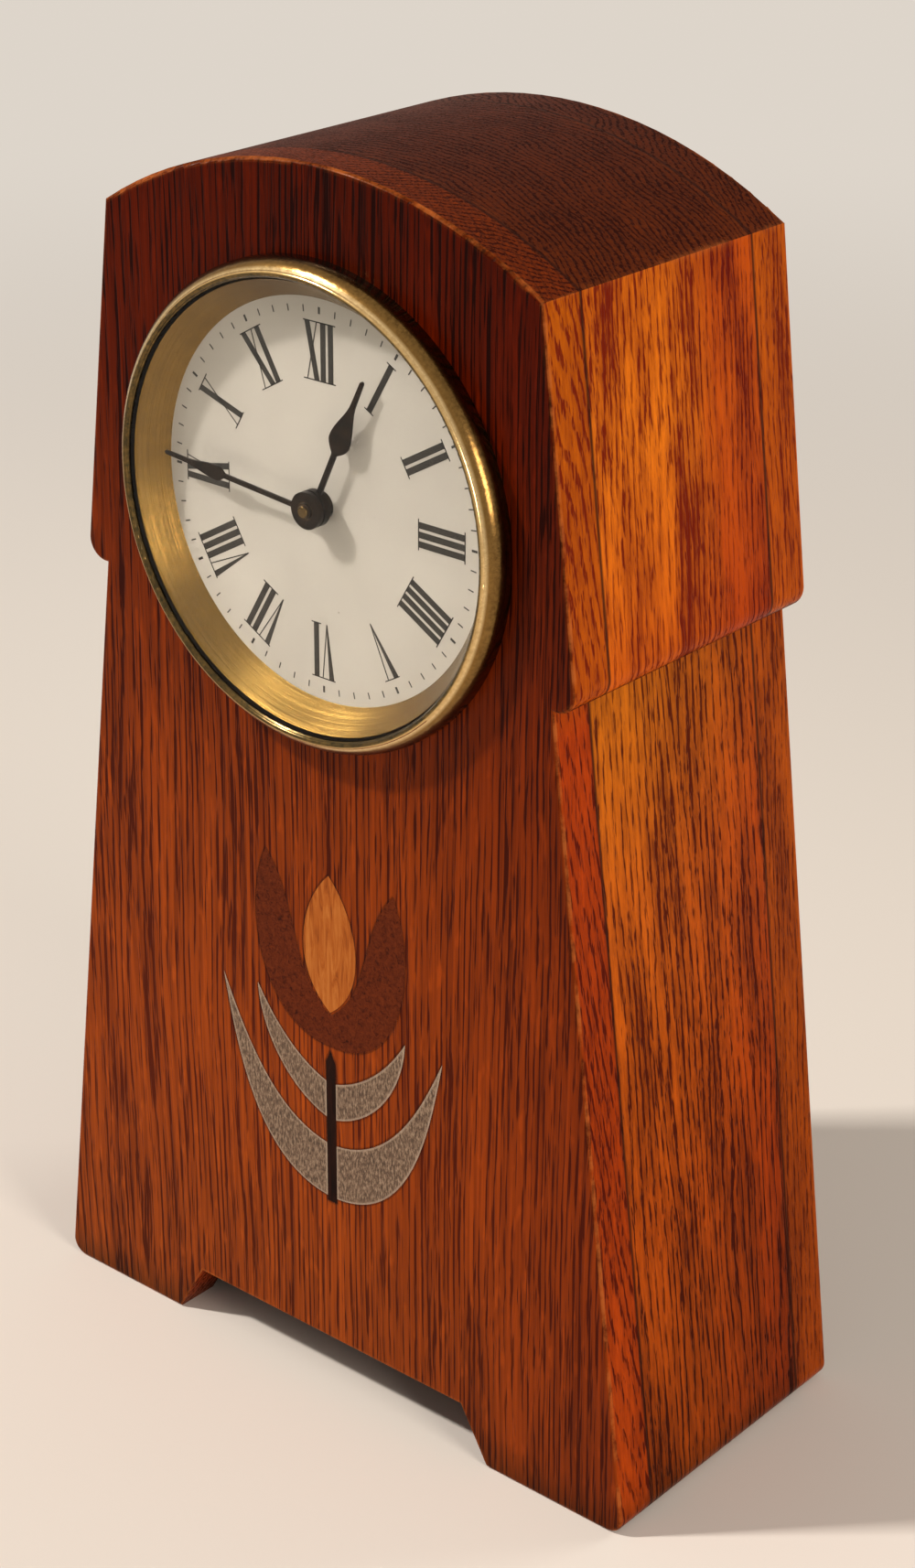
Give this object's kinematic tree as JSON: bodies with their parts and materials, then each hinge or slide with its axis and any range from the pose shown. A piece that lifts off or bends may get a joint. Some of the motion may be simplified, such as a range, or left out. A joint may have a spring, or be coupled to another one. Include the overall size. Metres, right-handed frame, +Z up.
{
  "type": "mantel timepiece",
  "caption": "Tapered oak mantel timepiece with a shallow arched top, bracket feet, floral inlay, round white dial with Roman numerals and a rear-wound brass drum movement.",
  "frame": {"origin": "on the table under the middle of the whole clock", "axes": "+Z up, -Y the way the dial faces, +X to the right as seen from the front"},
  "size_m": [0.1556, 0.0858, 0.26],
  "materials": {
    "oak_front": "french polish",
    "oak_block": "french polish",
    "oak_side": "french polish",
    "oak_back": "french polish",
    "oak_raw": "unfinished",
    "burr_veneer": "french polish",
    "pale_veneer": "french polish",
    "ebony": "french polish",
    "pewter": "worn satin",
    "polished_brass": "polished",
    "brass": "satin",
    "glass": "clear",
    "enamel": "gloss",
    "blued_steel": "blued",
    "steel": "satin"
  },
  "bodies": {
    "case": {"front_board": "oak_front", "upper_block": "oak_block", "side_left": "oak_side", "side_right": "oak_side", "base_board": "oak_raw", "back_board": "oak_back", "inlay_petals": "burr_veneer", "inlay_heart": "pale_veneer", "inlay_leaves": "pewter", "inlay_buds": "pewter", "inlay_stem": "ebony", "bezel": "polished_brass", "bezel_glass": "glass", "sight_ring": "polished_brass", "dial": "enamel", "dial_plate": "brass", "drum": "brass", "dial_posts": "brass", "front_plate": "brass", "back_plate": "brass", "plate_pillars": "brass", "pillar_screws": "blued_steel", "click_screw": "blued_steel", "click_spring": "steel", "minute_post": "steel", "balance_cock": "brass", "escape_cock": "brass", "cock_screws": "blued_steel", "banking_pins": "steel", "back_ring": "polished_brass", "hinge_pin": "steel", "ring_screws": "steel", "draw_screws": "steel"},
    "hand_arbor": {"centre_arbor": "steel", "cannon_pinion": "brass", "minute_hand": "blued_steel", "hand_collet": "brass", "set_knob": "polished_brass", "clutch_washer": "brass"},
    "minute_wheel_body": {"minute_wheel": "brass"},
    "hour_body": {"hour_wheel": "brass", "hour_hand": "blued_steel"},
    "barrel_body": {"barrel": "brass", "barrel_cap": "brass", "mainspring": "steel"},
    "centre_wheel_body": {"centre_wheel": "brass"},
    "third_wheel_body": {"third_wheel": "brass"},
    "fourth_wheel_body": {"fourth_wheel": "brass"},
    "escape_wheel_body": {"escape_wheel": "brass"},
    "lever_body": {"lever": "steel"},
    "balance_body": {"balance_wheel": "steel", "hairspring": "blued_steel"},
    "index_body": {"regulator_index": "steel"},
    "winding_body": {"barrel_arbor": "steel", "ratchet_wheel": "steel", "winding_key": "polished_brass"},
    "click_body": {"click": "steel"},
    "door_body": {"back_door": "polished_brass", "door_knob": "polished_brass"}
  },
  "joints": [
    {"name": "minute_turn", "type": "hinge", "parent": "case", "child": "hand_arbor", "pos_m": [0, -0.01107, 0.1959], "axis": [0, 1, 0], "continuous": true},
    {"name": "minute_wheel_turn", "type": "hinge", "parent": "case", "child": "minute_wheel_body", "pos_m": [0.00722, -0.01107, 0.18632], "axis": [0, 1, 0], "continuous": true},
    {"name": "hour_turn", "type": "hinge", "parent": "case", "child": "hour_body", "pos_m": [0, -0.01107, 0.1959], "axis": [0, 1, 0], "continuous": true},
    {"name": "third_turn", "type": "hinge", "parent": "case", "child": "third_wheel_body", "pos_m": [-0.00599, -0.01107, 0.21095], "axis": [0, 1, 0], "continuous": true},
    {"name": "barrel_turn", "type": "hinge", "parent": "case", "child": "barrel_body", "pos_m": [-0.012, -0.01107, 0.1813], "axis": [0, 1, 0], "continuous": true},
    {"name": "centre_turn", "type": "hinge", "parent": "case", "child": "centre_wheel_body", "pos_m": [0, -0.01107, 0.1959], "axis": [0, 1, 0], "continuous": true},
    {"name": "fourth_turn", "type": "hinge", "parent": "case", "child": "fourth_wheel_body", "pos_m": [0.00744, -0.01107, 0.21308], "axis": [0, 1, 0], "continuous": true},
    {"name": "escape_turn", "type": "hinge", "parent": "case", "child": "escape_wheel_body", "pos_m": [0.01794, -0.01107, 0.20827], "axis": [0, 1, 0], "continuous": true},
    {"name": "lever_rock", "type": "hinge", "parent": "case", "child": "lever_body", "pos_m": [0.01857, -0.01107, 0.20225], "axis": [0, 1, 0], "range_deg": [-4, 4]},
    {"name": "balance_swing", "type": "hinge", "parent": "case", "child": "balance_body", "pos_m": [0.02005, -0.01107, 0.18787], "axis": [0, 1, 0], "range_deg": [-135, 135], "stiffness_Nm_per_rad": 0.000021},
    {"name": "index_turn", "type": "hinge", "parent": "case", "child": "index_body", "pos_m": [0.02005, -0.01107, 0.18787], "axis": [0, 1, 0], "range_deg": [-25, 25]},
    {"name": "winding_turn", "type": "hinge", "parent": "case", "child": "winding_body", "pos_m": [-0.012, -0.01107, 0.1813], "axis": [0, 1, 0], "continuous": true},
    {"name": "click_lift", "type": "hinge", "parent": "case", "child": "click_body", "pos_m": [-0.02052, -0.01107, 0.17732], "axis": [0, 1, 0], "range_deg": [0, 8], "stiffness_Nm_per_rad": 0.0005},
    {"name": "door_swing", "type": "hinge", "parent": "case", "child": "door_body", "pos_m": [-0.0384, 0.03707, 0.1959], "axis": [0, 0, 1], "range_deg": [0, 115]}
  ],
  "couplings": [
    {"joint": "minute_wheel_turn", "follows": "minute_turn", "ratio": -0.33333},
    {"joint": "hour_turn", "follows": "minute_turn", "ratio": 0.083333},
    {"joint": "fourth_turn", "follows": "third_turn", "ratio": -7.5},
    {"joint": "escape_turn", "follows": "third_turn", "ratio": 75},
    {"joint": "centre_turn", "follows": "third_turn", "ratio": -0.125},
    {"joint": "barrel_turn", "follows": "third_turn", "ratio": 0.020833}
  ]
}
